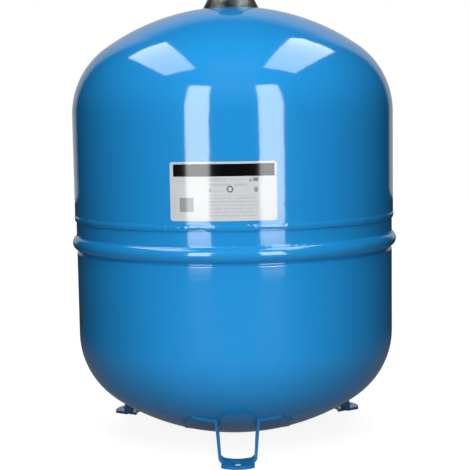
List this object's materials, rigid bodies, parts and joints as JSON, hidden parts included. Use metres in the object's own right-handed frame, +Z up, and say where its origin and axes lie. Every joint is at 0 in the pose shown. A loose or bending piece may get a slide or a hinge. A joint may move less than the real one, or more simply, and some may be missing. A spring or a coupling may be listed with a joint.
{
  "type": "expansion tank",
  "caption": "Upright welded steel expansion tank on strap feet, with a threaded water connection on top and a capped air valve in a recess below.",
  "frame": {"origin": "on the floor, on the vessel's axis", "axes": "+Z up along the vessel's axis, front foot towards -Y"},
  "size_m": [0.3868, 0.3868, 0.5524],
  "materials": {
    "blue_enamel": "gloss powder coat",
    "enamelled_weld": "gloss powder coat over a weld run",
    "zinc_coat": "zinc coat, mottled grey-green",
    "bare_steel": "mill finish",
    "butyl_rubber": "moulded",
    "seal_rubber": "moulded",
    "white_polypropylene": "moulded",
    "brass": "turned",
    "spring_steel": "drawn wire",
    "black_plastic": "moulded",
    "label_film": "printed film"
  },
  "bodies": {
    "vessel": {"upper_shell": "blue_enamel", "lower_shell": "blue_enamel", "foot_front": "blue_enamel", "foot_right": "blue_enamel", "foot_left": "blue_enamel", "seam_weld": "enamelled_weld", "foot_welds": "enamelled_weld", "stub_weld": "enamelled_weld", "valve_stub": "blue_enamel", "connection_boss": "zinc_coat", "clamp_ring": "bare_steel", "boss_weld": "bare_steel", "diaphragm": "butyl_rubber", "water_liner": "white_polypropylene", "bore_sleeve": "white_polypropylene", "valve_stem": "brass", "valve_core": "brass", "core_seal": "seal_rubber", "data_label": "label_film"},
    "pin": {"valve_pin": "brass", "poppet_seal_ring": "seal_rubber", "valve_spring": "spring_steel"},
    "cap_rise": {"cap_gasket": "seal_rubber"},
    "cap": {"valve_cap": "black_plastic"}
  },
  "joints": [
    {"name": "pin_press", "type": "slide", "parent": "vessel", "child": "pin", "axis": [0, 0, 1], "range_m": [0, 0.0012], "stiffness_N_per_m": 500, "springref_m": -0.002, "deforming": ["valve_spring"]},
    {"name": "cap_lift", "type": "slide", "parent": "vessel", "child": "cap_rise", "axis": [0, 0, -1], "range_m": [0, 0.0096]},
    {"name": "cap_turn", "type": "hinge", "parent": "cap_rise", "child": "cap", "pos_m": [0, 0, 0.0277], "axis": [0, 0, -1], "range_deg": [0, 4320]}
  ],
  "couplings": [
    {"joint": "cap_lift", "follows": "cap_turn", "m_per_rad": 0.00012633}
  ]
}
